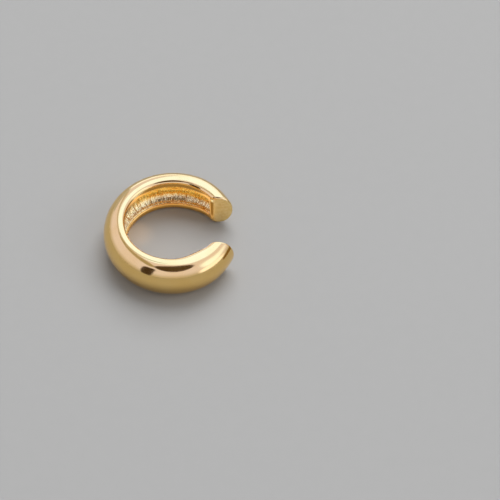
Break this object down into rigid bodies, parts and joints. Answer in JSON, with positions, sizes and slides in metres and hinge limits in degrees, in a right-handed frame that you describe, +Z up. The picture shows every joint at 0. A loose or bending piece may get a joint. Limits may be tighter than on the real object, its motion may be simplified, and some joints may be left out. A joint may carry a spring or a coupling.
{
  "type": "ear cuff",
  "caption": "Chunky open ring ear cuff with a polished domed outside, a hollowed cast channel inside between smooth lips, and flat parallel end faces.",
  "frame": {"origin": "centre of the cuff's bounding box at the height of the rim it rests on", "axes": "+Z up along the ring's axis, +X from the back of the ring to its mouth, +Y across the mouth towards the upper tip"},
  "size_m": [0.0112, 0.012, 0.0038],
  "materials": {
    "polished_gold": "pale gold plate, mirror polished outside, as cast inside the channel"
  },
  "bodies": {
    "root": {"cuff_band": "polished_gold"}
  },
  "joints": []
}
